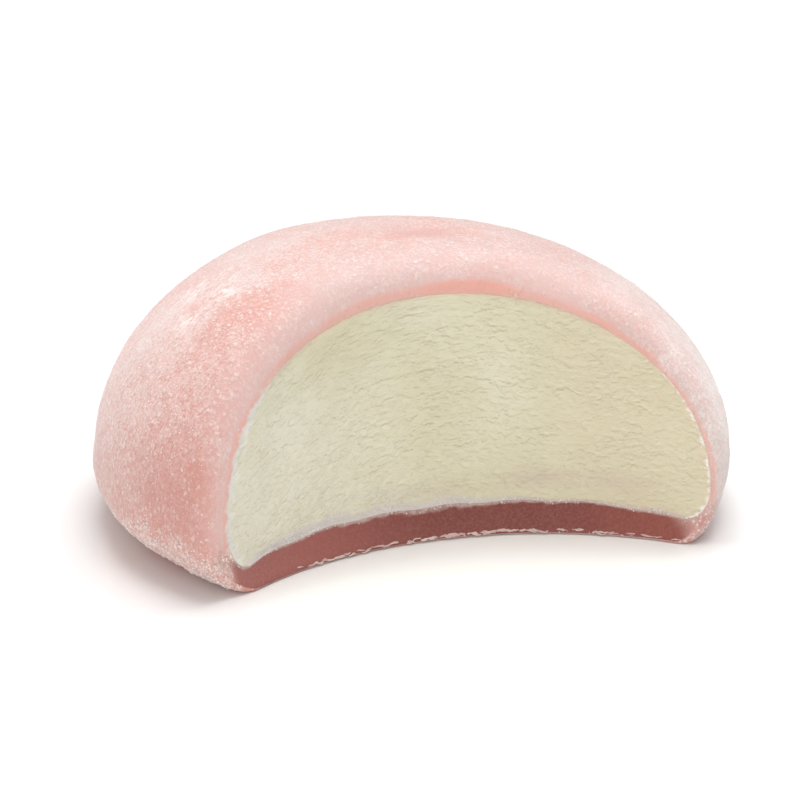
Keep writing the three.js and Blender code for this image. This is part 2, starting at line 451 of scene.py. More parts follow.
def doughMasks(points, lipShare, edgeDistance):
    x, y, z = points[..., 0], points[..., 1], points[..., 2]
    behind = smoothStep(1.0, 8.0, y)
    atRight = smoothStep(8.0, 16.0, x)
    patches = layeredNoise(points, 5.0, 11, 3)
    patches = mix(patches, layeredNoise(points @ slantedAxes, 5.0, 29, 3), behind)
    fine = layeredNoise(points, 1.1, 17, 2)
    masks = {}

    # the bare cut edge under the ice cream, which fades out at the bite's corners
    slope = 0.35 * (z - 1.0)
    band = smoothStep(0.0, 0.03, lipShare) * smoothStep(3.3, 2.5, z)
    band = band * smoothStep(-18.3, -17.1, x + 0.12 * fine)
    masks["cut"] = band * smoothStep(19.5, 17.3, x + 0.2 * fine + slope)
    # a ragged pale fuzz along the cut's top edge: frost, and painted light over the shade in the groove
    # under the ice cream
    ragged = 0.42 + 0.22 * layeredNoise(points, 0.7, 67, 3) + 0.5 * smoothStep(14.5, 17.5, x)
    masks["fuzz"] = masks["cut"] * smoothStep(ragged, 0.08, edgeDistance)

    # the thin edge next to the ice cream, where the dough is stretched and translucent
    middle = spot(points, (1.9, -5.1, 19.8), (2.6, 3.0, 2.0))
    reach = mix(1.1, 1.2, smoothStep(10.0, 18.0, z)) + 0.2 * middle + 0.25 * patches - 0.55 * atRight
    rim = smoothStep(reach, 0.4 * reach, edgeDistance) * smoothStep(2.4, 4.0, z)
    masks["rim"] = rim * (0.8 + 0.4 * middle + 0.2 * patches)

    # the rolled lip is smoother and paler than the rest where it bends over the top; the lip and
    # the roll along the edge are also painted lighter, as painted light over the shade where the edge
    # turns away from the lamps
    masks["lip"] = smoothStep(5.0, 2.4, edgeDistance) * smoothStep(9.0, 16.0, z)
    roll = smoothStep(3.2, 0.6, edgeDistance) * smoothStep(3.0, 5.0, z) * (1.0 - masks["cut"])
    masks["roll"] = roll * (1.0 - 0.7 * atRight)

    # patches of paler, whiter and redder dough
    pale = smoothStep(-17.0, -3.0, x + 0.5 * (z - 14.0) + 1.5 * patches)
    masks["pale"] = withSpots(pale, points, doughSpots["pale"])
    white = smoothStep(9.7, 19.5, x + mix(0.6, 2.2, behind) * patches)
    masks["white"] = withSpots(white, points, doughSpots["white"])
    masks["blush"] = withSpots(0.3 * smoothStep(0.1, 0.8, patches), points, doughSpots["blush"])
    # painted shade: the underside near the table is painted a dark, saturated red, which darkens it under
    # the overhang and reddens the shade it throws on the table
    masks["under"] = smoothStep(1.5, 0.2, z) * smoothStep(4.0, 7.0, edgeDistance)

    # how much starch lies on it, with a crust near the foot
    grit = 0.50 + 0.20 * patches + 0.25 * smoothStep(8.0, 18.0, x)
    grit = grit + 0.15 * masks["roll"] * smoothStep(0.0, -8.0, x)
    masks["grit"] = withSpots(grit, points, doughSpots["grit"]) * mix(1.0, 0.7, masks["lip"])
    crust = smoothStep(4.0, 1.6, z + 0.8 * patches) * (0.35 + 0.5 * smoothStep(-0.2, 0.5, patches))
    crust = withSpots(crust, points, doughSpots["crust"]) * smoothStep(0.1, 0.9, z)
    masks["crust"] = crust * (0.75 + 0.5 * fine) * (1.0 - masks["cut"])
    masks["scuff"] = withSpots(0.0, points, doughSpots["scuff"])

    # frost from the ice cream lies on the rim at its left side
    teeth = layeredNoise(points * np.array([1.0, 1.0, 1.6]), 0.6, 61, 2)
    teethReach = np.maximum(0.5 + 0.45 * teeth, 0.2)
    frosty = smoothStep(teethReach, 0.1, edgeDistance) * smoothStep(17.0, 13.0, z)
    masks["frosty"] = frosty * smoothStep(-11.0, -15.0, x) * smoothStep(2.4, 3.4, z)
    return {name: np.clip(values, 0.0, 1.0) for name, values in masks.items()}


def buildDough(around, outerAway, innerAway):
    outsideShares = np.linspace(0.0, 1.0, dough["outsideRows"] + 1)[1:]
    lipShares = np.linspace(0.0, 1.0, dough["lipRows"] + 1)[1:]
    outside = crowded(np.full_like(around, math.pi), outerAway, outsideShares)
    lip = outerAway + (innerAway - outerAway) * lipShares[:, None]
    away = np.vstack([outside, lip])
    direction = rayDirection(away, np.broadcast_to(around, away.shape))
    grid = pointAt(direction, skinDistance(direction))
    grid[..., 2] = np.where(np.abs(grid[..., 2]) < 1e-5, 0.0, grid[..., 2])

    lipShare = np.vstack([np.zeros_like(outside), np.broadcast_to(lipShares[:, None], lip.shape)])
    edgeDistance = np.linalg.norm(grid - grid[-1][None], axis=-1)
    masks = doughMasks(grid, lipShare, edgeDistance)

    # lumps, grains, crust and scuffs are relief, which fades out at the foot and the edge
    rough = mix(1.0, 0.3, masks["lip"]) * (1.0 - masks["cut"]) * (0.4 + masks["grit"])
    shift = dough["lumpHeight"] * layeredNoise(grid, dough["lumpSize"], 3, 2)
    shift = shift + dough["grainHeight"] * rough * layeredNoise(grid, dough["grainSize"], 5, 2)
    crustRelief = masks["crust"] * layeredNoise(grid, dough["crustSize"], 7, 2)
    scuffRelief = masks["scuff"] * softNoise(grid @ scuffAxes, dough["scuffSize"], 23)
    shift = shift + dough["crustHeight"] * crustRelief + dough["scuffHeight"] * scuffRelief
    shift = shift * smoothStep(0.02, 1.2, grid[..., 2]) * smoothStep(0.0, 0.8, edgeDistance)
    grid = grid + gridNormals(grid) * shift[..., None]

    cavityShares = np.linspace(0.0, 1.0, dough["cavityRows"] + 1)[1:-1]
    cavityAway = innerAway + (math.pi - innerAway) * cavityShares[:, None]
    cavityDirection = rayDirection(cavityAway, np.broadcast_to(around, cavityAway.shape))
    cavity = pointAt(cavityDirection, cavityDistance(cavityDirection))
    back = np.array([0.0, 1.0, 0.0])
    outerPole = core + back * float(skinDistance(back[None])[0])
    innerPole = core + back * float(cavityDistance(back[None])[0])
    piece = meshObject("doughSkin", *gridShape(np.concatenate([grid, cavity]), outerPole, innerPole))
    for name, values in masks.items():
        inner = np.repeat(values[-1:], len(cavity), axis=0)
        setAttribute(piece, name, np.concatenate([values, inner]))
    return piece


cream = {
    "bodyRows": 10,
    "faceRows": 190,
    "crowding": 1.15,
    "swell": 0.10,
    "ridgeHeight": 0.07,
    "ledge": 0.13,
    "frostHeight": 0.09,
    "seamPlaces": [-17.0, -15.5, -13.0, -10.0, -6.0, -1.0, 2.5, 4.5, 8.0, 13.0, 18.0],
    "seamTops": [0.3, 0.5, 0.7, 0.75, 0.7, 0.6, 0.5, 0.35, 0.3, 0.3, 0.3],
    "stains": [
        (1.0, (8.5, -7.5, 4.2), (3.0, 4.0, 0.8)),
        (0.9, (14.2, -9.5, 4.0), (2.2, 4.0, 0.7)),
        (0.6, (-1.0, -7.0, 3.6), (4.0, 4.0, 0.8)),
    ],
    "farShare": 4.0,
}


def ridgePlace(points):
    # along and across the scrape marks, which rise to the right on the left half
    x, z = points[..., 0], points[..., 2]
    slant = mix(0.40, 0.02, smoothStep(-16.0, 8.0, x))
    along = x * np.cos(slant) + z * np.sin(slant)
    across = -x * np.sin(slant) + z * np.cos(slant)
    return np.stack([along, points[..., 1] * 0.4, across], axis=-1)


def scrapeRelief(marks):
    # flat blobs with steep edges, as a spoon or teeth tear frozen cream
    bent = marks + 0.16 * softNoise(marks, 0.6, 53)[..., None] * np.array([0.0, 0.0, 1.0])
    broad = smoothStep(-0.30, 0.30, softNoise(bent * np.array([0.40, 1.0, 1.0]), 0.52, 31))
    small = smoothStep(-0.35, 0.35, softNoise(bent * np.array([0.50, 1.0, 1.0]), 0.30, 37))
    return 0.62 * broad + 0.38 * small


def buildCream(around, innerAway):
    faceShares = np.linspace(0.0, 1.0, cream["faceRows"] + 1)[:-1] ** cream["crowding"]
    faceAway = innerAway * (1.0 - faceShares[:, None])
    bodyShares = np.linspace(0.0, 1.0, cream["bodyRows"] + 1)[1:-1]
    bodyAway = math.pi + (innerAway - math.pi) * bodyShares[:, None]
    away = np.vstack([bodyAway, faceAway])
    direction = rayDirection(away, np.broadcast_to(around, away.shape))
    grid = pointAt(direction, creamDistance(direction))
    face = np.zeros(away.shape)
    face[len(bodyAway):] = 1.0

    fromRim = np.linalg.norm(grid - grid[len(bodyAway)][None], axis=-1)
    x, z = grid[..., 0], grid[..., 2]
    marks = ridgePlace(grid)
    ridge = scrapeRelief(marks)
    above = scrapeRelief(marks + np.array([0.0, 0.0, cream["ledge"]]))
    broad = layeredNoise(grid, 6.0, 43, 3)

    # frost: a soft grey seam along the foot and a thin white fringe up the side edges
    seamTop = np.interp(x, cream["seamPlaces"], cream["seamTops"])
    seamWidth = seamTop * (1.0 + 0.3 * layeredNoise(grid, 1.6, 47, 2))
    seamShare = (z - baseSkinAt(x)) / seamWidth
    seam = smoothStep(1.0, 0.4, seamShare)
    fringeWidth = 0.9 * smoothStep(17.0, 12.0, z) * smoothStep(-11.0, -15.5, x)
    fringeWidth = fringeWidth + 0.3 * smoothStep(16.0, 9.0, z) * smoothStep(15.0, 18.5, x) + 1e-3
    fringeShare = fromRim / fringeWidth
    fringe = smoothStep(1.0, 0.3, fringeShare)
    frost = np.clip(np.maximum(seam, fringe), 0.0, 1.0) * face
    calm = 1.0 - 0.75 * frost
    high = np.maximum(smoothStep(12.0, 15.0, z), smoothStep(12.0, 17.0, x) * smoothStep(2.2, 4.0, z))
    # painted light: the bitten face is lighter towards the lower left, with some tone that changes at
    # random
    paintedLightAndTone = smoothStep(4.0, -16.0, x) * smoothStep(18.0, 8.0, z) + 0.25 * broad
    far = cream["farShare"]
    masks = {
        "seamShare": np.where(face > 0.5, np.clip(seamShare, 0.0, far), far),
        "fringeShare": np.where(face > 0.5, np.clip(fringeShare, 0.0, far), far),
        # painted light on the upper edges of the torn blobs and painted shade under their lower ones, as
        # if lit from above
        "paintedCrestLight": np.clip(ridge - above, 0.0, 1.0) * face * calm,
        "hollow": np.clip(above - ridge, 0.0, 1.0) * face * calm,
        "stain": np.clip(withSpots(0.0, grid, cream["stains"]), 0.0, 1.0) * face,
        "paintedLightAndTone": np.clip(paintedLightAndTone, 0.0, 1.0),
        # painted shade: the bitten face is darker towards the right
        "shade": smoothStep(2.0, 16.0, x),
        "rimTint": smoothStep(0.6, 0.0, fromRim) * high * face,
    }

    shift = cream["swell"] * broad + cream["ridgeHeight"] * (ridge - 0.5) * calm
    shift = shift + cream["frostHeight"] * frost * (0.5 + 0.8 * layeredNoise(grid, 0.55, 59, 2))
    grid = grid + gridNormals(grid) * (shift * face * smoothStep(0.0, 0.5, fromRim))[..., None]
    back = np.array([0.0, 1.0, 0.0])
    frontPole = np.mean(grid[-1], axis=0)
    backPole = core + back * float(cavityDistance(back[None])[0])
    piece = meshObject("iceCream", *gridShape(grid, backPole, frontPole))
    for name, values in masks.items():
        setAttribute(piece, name, values)
    setPlaces(piece, "marks", marks)
    return piece


def feed(tree, socket, value):
    # a link from another node's output, or else a constant
    if isinstance(value, bpy.types.NodeSocket):
        tree.links.new(value, socket)
    else:
        socket.default_value = value


def addNode(tree, kind, inputs=None, **settings):
    node = tree.nodes.new(kind)
    for key, value in settings.items():
        setattr(node, key, value)
    for key, value in (inputs or {}).items():
        feed(tree, node.inputs[key], value)
    return node


def addSockets(tree, way, kind, *labels):
    for label in labels:
        tree.interface.new_socket(label, in_out=way, socket_type="NodeSocket" + kind)


def newMaterial(name, finish):
    material = bpy.data.materials.new(name)
    material.use_nodes = True
    tree = material.node_tree
    sockets = tree.nodes["Principled BSDF"].inputs
    for label, value in finish.items():
        sockets[label].default_value = value
    return material, tree, sockets


def mathNode(tree, operation, one, other, clamp=False):
    node = addNode(tree, "ShaderNodeMath", {0: one, 1: other}, operation=operation, use_clamp=clamp)
    return node.outputs[0]


def times(tree, one, other):
    return mathNode(tree, "MULTIPLY", one, other)


def vectorNode(tree, operation, one, other):
    second = "Scale" if operation == "SCALE" else 1
    node = addNode(tree, "ShaderNodeVectorMath", {0: one, second: other}, operation=operation)
    return node.outputs["Value" if operation == "DOT_PRODUCT" else "Vector"]


def addedUp(tree, *terms):
    # a sum of (value, factor) pairs and plain numbers
    total = 0.0
    for term in terms:
        if isinstance(term, tuple):
            term = times(tree, *term)
        total = mathNode(tree, "ADD", total, term)
    return total


def mixColours(tree, share, one, other):
    inputs = {0: share, 6: one, 7: other}
    return addNode(tree, "ShaderNodeMix", inputs, data_type="RGBA", clamp_factor=True).outputs[2]


def maskNode(tree, name, factor=1.0):
    # a value that was worked out with the shape
    value = addNode(tree, "ShaderNodeAttribute", attribute_name=name).outputs["Fac"]
    return times(tree, value, factor)


def painted(tree, base, layers, *names):
    # each named layer lies over the ones before it, where its mask of the same name says
    for name in names:
        colour, strength = layers[name]
        base = mixColours(tree, maskNode(tree, name, strength), base, colour)
    return base


def rangeNode(tree, value, low, high, to0=0.0, to1=1.0):
    inputs = {"Value": value, "From Min": low, "From Max": high, "To Min": to0, "To Max": to1}
    node = addNode(tree, "ShaderNodeMapRange", inputs, interpolation_type="SMOOTHSTEP")
    return node.outputs["Result"]


def placeOutput(tree, stretch=(1.0, 1.0, 1.0), turn=(0.0, 0.0, 0.0)):
    # the object's own coordinates in millimetres, stretched and then turned
    place = addNode(tree, "ShaderNodeTexCoord").outputs["Object"]
    scale = tuple(share / metre for share in stretch)
    inputs = {"Vector": place, "Scale": scale, "Rotation": turn}
    return addNode(tree, "ShaderNodeMapping", inputs).outputs["Vector"]


def placeAxes(tree):
    return addNode(tree, "ShaderNodeSeparateXYZ", {0: placeOutput(tree)}).outputs


def strokePlace(tree, direction):
    # the place squeezed along one direction, so that a noise becomes strokes along it
    place = placeOutput(tree)
    unit = tuple(Vector(direction).normalized())
    along = vectorNode(tree, "DOT_PRODUCT", place, unit)
    back = vectorNode(tree, "SCALE", unit, times(tree, along, -0.7))
    return vectorNode(tree, "ADD", place, back)


def noiseOutput(tree, perMm, detail, roughness, place=None):
    place = place or placeOutput(tree)
    inputs = {"Vector": place, "Scale": perMm, "Detail": detail, "Roughness": roughness}
    return addNode(tree, "ShaderNodeTexNoise", inputs).outputs["Fac"]


def bumpNode(tree, height, distance, strength, normal=None):
    inputs = {"Height": height, "Distance": distance * metre, "Strength": strength}
    if normal is not None:
        inputs["Normal"] = normal
    return addNode(tree, "ShaderNodeBump", inputs).outputs["Normal"]


def linear(red, green, blue):
    # a colour as seen on a screen, from 0 to 255, as Blender wants it
    out = []
    for part in (red, green, blue):
        share = part / 255.0
        out.append(share / 12.92 if share <= 0.04045 else ((share + 0.055) / 1.055) ** 2.4)
    return (*out, 1.0)


def buildStarchGroup():
    # starch dust: a mask of single flecks and a height, from a coverage and a fleck size
    group = bpy.data.node_groups.new("starchDust", "ShaderNodeTree")
    addSockets(group, "INPUT", "Float", "Coverage", "Flecks per mm")
    addSockets(group, "INPUT", "Vector", "Place")
    addSockets(group, "OUTPUT", "Float", "Mask", "Height")
    inside = addNode(group, "NodeGroupInput").outputs
    place, coverage, perMm = inside["Place"], inside["Coverage"], inside["Flecks per mm"]

    # the place is bent by a fine noise, so that the flecks are crooked
    bendScale = times(group, perMm, 1.1)
    inputs = {"Vector": place, "Scale": bendScale, "Detail": 1.0}
    bend = addNode(group, "ShaderNodeTexNoise", inputs).outputs["Color"]
    centred = vectorNode(group, "SUBTRACT", bend, (0.5, 0.5, 0.5))
    sized = vectorNode(group, "SCALE", centred, mathNode(group, "DIVIDE", 0.9, perMm))
    bent = vectorNode(group, "ADD", place, sized)
    cells = addNode(group, "ShaderNodeTexVoronoi", {"Vector": bent, "Scale": perMm}, feature="F1").outputs
    draws = addNode(group, "ShaderNodeSeparateColor", {"Color": cells["Color"]}).outputs

    # a cell has a fleck where its draw is under the coverage, and the fleck's size is drawn too
    there = rangeNode(group, mathNode(group, "SUBTRACT", coverage, draws[0]), -0.12, 0.12)
    size = mathNode(group, "ADD", times(group, draws[1], 0.30), 0.30)
    bulge = rangeNode(group, mathNode(group, "DIVIDE", cells["Distance"], size), 1.0, 0.45)
    fleck = times(group, bulge, there)

    # fine powder between the flecks
    powder = noiseOutput(group, times(group, perMm, 1.25), 2.0, 0.6, bent)
    lifted = mathNode(group, "ADD", powder, times(group, coverage, 0.22))
    powdered = times(group, rangeNode(group, lifted, 0.54, 0.74), 0.5)
    mask = mathNode(group, "MAXIMUM", fleck, powdered)
    height = times(group, mask, size)
    addNode(group, "NodeGroupOutput", {"Mask": mask, "Height": height})
    return group


def starchNode(tree, group, coverage, perMm, place):
    inputs = {"Coverage": coverage, "Flecks per mm": perMm, "Place": place}
    return addNode(tree, "ShaderNodeGroup", inputs, node_tree=group).outputs


# A layer's number is how strongly its colour covers the ones below it
doughLook = {
    "pink": linear(216, 152, 140),
    "pale": linear(211, 172, 166),
    "white": linear(231, 210, 205),
    "layers": {
        # painted light: the lip and the roll are painted lighter where the edge turns away from the lamps
        "lip": (linear(234, 209, 206), 0.5),
        "blush": (linear(212, 149, 138), 0.9),
        "roll": (linear(243, 206, 200), 0.8),
        # painted shade: the dark red of the underside near the table
        "under": (linear(214, 78, 64), 0.95),
        "rim": (linear(250, 182, 166), 0.85),
        "frosty": (linear(254, 245, 239), 0.9),
    },
    "cutLeft": linear(164, 91, 83),
    "cutMiddle": linear(131, 66, 59),
    "cutRight": linear(148, 75, 64),
    # painted light: the cut's own redder colour next to the table
    "cutFootPaintedLight": linear(146, 80, 73),
    "mottle": linear(176, 116, 106),
    "fuzz": linear(206, 176, 168),
    "scuff": linear(254, 242, 238),
    "scuffDirection": (0.5, 0.3, 0.8),
    "starch": linear(247, 228, 223),
    "starchRight": linear(253, 244, 240),
    "finish": {
        "Subsurface Weight": 0.3,
        "Subsurface Radius": (1.0, 0.42, 0.34),
        "Subsurface Scale": 0.8 * metre,
        "Sheen Weight": 0.55,
        "Sheen Roughness": 0.5,
        "Specular IOR Level": 0.3,
    },
}


def doughMaterial(starch):
    material, tree, sockets = newMaterial("riceDough", doughLook["finish"])
    look, layers = doughLook, doughLook["layers"]
    clouds = rangeNode(tree, noiseOutput(tree, 0.22, 3.0, 0.6), 0.3, 0.7, -0.4, 0.4)
    pale = mathNode(tree, "ADD", maskNode(tree, "pale"), clouds, clamp=True)
    base = mixColours(tree, pale, look["pink"], look["pale"])
    whiteClouds = times(tree, clouds, maskNode(tree, "white"))
    white = addedUp(tree, (maskNode(tree, "white"), 0.75), (whiteClouds, 0.8))
    base = mixColours(tree, white, base, look["white"])
    # painted light and shade: the lip and roll painted lighter, the underside near the table painted dark
    # red
    base = painted(tree, base, layers, "lip", "blush", "roll", "under")

    # starch lies on it in two sizes of flecks, but not on the cut edge
    drift = rangeNode(tree, noiseOutput(tree, 0.6, 2.0, 0.6), 0.3, 0.7, -0.2, 0.2)
    dusting = maskNode(tree, "grit"), maskNode(tree, "crust"), maskNode(tree, "scuff"), drift
    coverage = addedUp(tree, *zip(dusting, (1.0, 0.5, 0.3, 1.0)))
    clear = mathNode(tree, "SUBTRACT", 1.0, maskNode(tree, "cut"))
    coverage = times(tree, coverage, clear)
    diagonal = placeOutput(tree, (1.0, 1.0, 0.7), (0.0, -0.8, 0.0))
    coarse = starchNode(tree, starch, times(tree, coverage, 0.9), 2.7, diagonal)
    small = starchNode(tree, starch, times(tree, coverage, 0.75), 4.4, placeOutput(tree))
    dust = addedUp(tree, (coarse["Mask"], 0.68), (small["Mask"], 0.52))
    starchColour = mixColours(tree, maskNode(tree, "white"), look["starch"], look["starchRight"])
    starchColour = mixColours(tree, maskNode(tree, "blush", 0.55), starchColour, look["pink"])
    dusted = mixColours(tree, dust, base, starchColour)
    strokes = noiseOutput(tree, 2.2, 3.0, 0.6, strokePlace(tree, look["scuffDirection"]))
    strokes = rangeNode(tree, strokes, 0.44, 0.6)
    scuffed = times(tree, strokes, maskNode(tree, "scuff"))
    dusted = mixColours(tree, scuffed, dusted, look["scuff"])
    dusted = painted(tree, dusted, layers, "rim", "frosty")

    # the cut edge is darkest in its middle, faintly mottled, and soft where it meets the frost;
    # its pale fuzz there is frost and also painted light over the shade in the groove under the ice cream
    axes = placeAxes(tree)
    toMiddle = rangeNode(tree, axes["X"], -12.0, 1.0)
    toRight = rangeNode(tree, axes["X"], 9.0, 17.0)
    cutColour = mixColours(tree, toMiddle, look["cutLeft"], look["cutMiddle"])
    cutColour = mixColours(tree, toRight, cutColour, look["cutRight"])
    mottle = rangeNode(tree, noiseOutput(tree, 4.5, 3.0, 0.7), 0.35, 0.7, 0.0, 0.35)
    cutColour = mixColours(tree, mottle, cutColour, look["mottle"])
    fluff = rangeNode(tree, noiseOutput(tree, 2.2, 3.0, 0.7), 0.3, 0.7, -0.35, 0.35)
    fuzz = times(tree, addedUp(tree, (fluff, 1.0), 0.9), maskNode(tree, "fuzz"))
    cutColour = mixColours(tree, fuzz, cutColour, look["fuzz"])
    # painted light: near the table the cut is given a redder colour, which stands in for reddish light in
    # place of its contact shade
    paintedFootShare = rangeNode(tree, axes["Z"], 0.6, 0.1, 0.0, 0.8)
    cutColour = mixColours(tree, paintedFootShare, cutColour, look["cutFootPaintedLight"])
    cut = maskNode(tree, "cut")
    feed(tree, sockets["Base Color"], mixColours(tree, cut, dusted, cutColour))
    feed(tree, sockets["Roughness"], rangeNode(tree, cut, 0.0, 1.0, 0.85, 0.6))
    height = addedUp(tree, (coarse["Height"], 1.0), (small["Height"], 0.5))
    normal = bumpNode(tree, height, 0.12, 0.8)
    normal = bumpNode(tree, noiseOutput(tree, 3.0, 3.0, 0.7), 0.08, 0.6, normal)
    feed(tree, sockets["Normal"], normal)
    return material


creamLook = {
    "cream": linear(233, 229, 202),
    "warm": linear(227, 220, 189),
    # painted light for the blobs' upper edges, and below it painted shade under their lower ones
    "ridge": linear(244, 240, 221),
    "hollow": linear(212, 196, 158),
    "layers": {
        # painted light to the lower left and painted shade to the right of the bitten face
        "paintedLightAndTone": (linear(248, 244, 226), 0.8),
        "shade": (linear(226, 215, 186), 0.8),
        "stain": (linear(212, 194, 180), 0.45),
        "rimTint": (linear(240, 208, 184), 0.45),
    },
    "frost": linear(228, 219, 214),
    "frostRight": linear(220, 198, 184),
    "fringe": linear(254, 250, 239),
    "ledge": 0.10,
    "finish": {
        "Roughness": 0.72,
        "Subsurface Weight": 0.2,
        "Subsurface Radius": (1.0, 0.85, 0.6),
        "Subsurface Scale": 0.4 * metre,
        "Specular IOR Level": 0.3,
    },
}


def creamMaterial(starch):
    material, tree, sockets = newMaterial("iceCream", creamLook["finish"])
    look, layers = creamLook, creamLook["layers"]
    marks = addNode(tree, "ShaderNodeAttribute", attribute_name="marks").outputs["Vector"]

    def alongMarks(along, lift=0.0):
        # the place along and across the scrape marks, drawn out along them
        inputs = {"Vector": marks, "Scale": (along, 1.0, 1.0), "Location": (0.0, 0.0, lift)}
        return addNode(tree, "ShaderNodeMapping", inputs).outputs["Vector"]

    def tornAt(lift):
        return rangeNode(tree, noiseOutput(tree, 2.7, 3.0, 0.6, alongMarks(0.55, lift)), 0.40, 0.62)

    clouds = rangeNode(tree, noiseOutput(tree, 0.15, 3.0, 0.6), 0.35, 0.65, 0.0, 0.6)
    base = mixColours(tree, clouds, look["cream"], look["warm"])
    # painted light and shade across the bitten face
    base = painted(tree, base, layers, "paintedLightAndTone", "shade")

    # torn blobs: painted light on their upper edges and painted tan shade under their lower
    # ones, as if lit from above, on a relief that comes and goes over a few millimetres
    torn = tornAt(0.0)
    above = tornAt(look["ledge"])
    strength = noiseOutput(tree, 0.75, 3.0, 0.6, alongMarks(0.6))
    strength = rangeNode(tree, strength, 0.36, 0.64, 0.5, 1.0)
    rise = mathNode(tree, "SUBTRACT", torn, above)
    paintedCrestLight = addedUp(tree, (rise, 1.0), (maskNode(tree, "paintedCrestLight"), 0.5))
    paintedCrestLight = times(tree, rangeNode(tree, paintedCrestLight, 0.05, 0.9, 0.0, 0.6), strength)
    hollow = addedUp(tree, (rise, -1.0), (maskNode(tree, "hollow"), 0.5))
    hollow = times(tree, rangeNode(tree, hollow, 0.1, 0.9, 0.0, 0.7), strength)
    base = mixColours(tree, paintedCrestLight, base, look["ridge"])
    base = mixColours(tree, hollow, base, look["hollow"])
    base = painted(tree, base, layers, "stain", "rimTint")

    # frost: a soft seam along the foot, and teeth that lie flat along the left edge
    fluff = rangeNode(tree, noiseOutput(tree, 2.6, 3.0, 0.65), 0.3, 0.7, -0.28, 0.28)
    seam = addedUp(tree, (maskNode(tree, "seamShare"), 1.0), (fluff, 1.0))
    seam = rangeNode(tree, seam, 1.2, 0.5)
    toRight = rangeNode(tree, placeAxes(tree)["X"], 3.0, 12.0)
    frostColour = mixColours(tree, toRight, look["frost"], look["frostRight"])
    base = mixColours(tree, times(tree, seam, 0.9), base, frostColour)
    teeth = rangeNode(tree, noiseOutput(tree, 2.0, 2.0, 0.6, alongMarks(0.25)), 0.35, 0.65, -0.4, 0.7)
    fringe = addedUp(tree, (maskNode(tree, "fringeShare"), 1.0), (teeth, 1.0))
    fringe = rangeNode(tree, fringe, 1.1, 0.4, 0.0, 0.9)
    fringe = times(tree, fringe, mathNode(tree, "SUBTRACT", 1.0, seam))
    feed(tree, sockets["Base Color"], mixColours(tree, fringe, base, look["fringe"]))
    frost = mathNode(tree, "MAXIMUM", seam, fringe)
    dust = starchNode(tree, starch, times(tree, frost, 0.8), 4.0, placeOutput(tree))
    calm = mathNode(tree, "SUBTRACT", 1.0, times(tree, frost, 0.8))
    calm = times(tree, calm, strength)
    relief = times(tree, torn, calm)
    fine = noiseOutput(tree, 4.6, 3.0, 0.65, alongMarks(0.6))
    height = addedUp(tree, (relief, 1.0), (fine, 0.5), (dust["Height"], 0.4))
    feed(tree, sockets["Normal"], bumpNode(tree, height, 0.12, 0.68))
    return material


grainFinish = {
    "Roughness": 0.6,
    "Subsurface Weight": 0.3,
    "Subsurface Radius": (1.0, 0.9, 0.85),
    "Subsurface Scale": 0.2 * metre,
}


def grainMaterial(name, bright, dull, starch):
    material, tree, sockets = newMaterial(name, grainFinish)
    tint = rangeNode(tree, noiseOutput(tree, 1.2, 1.0, 0.5), 0.3, 0.7)
    feed(tree, sockets["Base Color"], mixColours(tree, tint, bright, dull))
    dust = starchNode(tree, starch, 0.6, 8.0, placeOutput(tree))
    feed(tree, sockets["Normal"], bumpNode(tree, dust["Height"], 0.03, 0.5))
    return material


# The size in millimetres is the largest grain's radius, before it is widened and flattened
grains = {"perSquareMm": 3.2, "size": 0.1, "sizeSpread": 0.5, "flatness": 0.6, "seed": 4}
crustGrains = {"perSquareMm": 14.0, "size": 0.15, "sizeSpread": 0.6, "flatness": 0.75, "seed": 21}
flecks = {"perSquareMm": 10.0, "size": 0.078, "sizeSpread": 0.5, "flatness": 0.35, "seed": 9}
frostCrumbs = {"perSquareMm": 45.0, "size": 0.1, "sizeSpread": 0.7, "flatness": 0.55, "seed": 14}


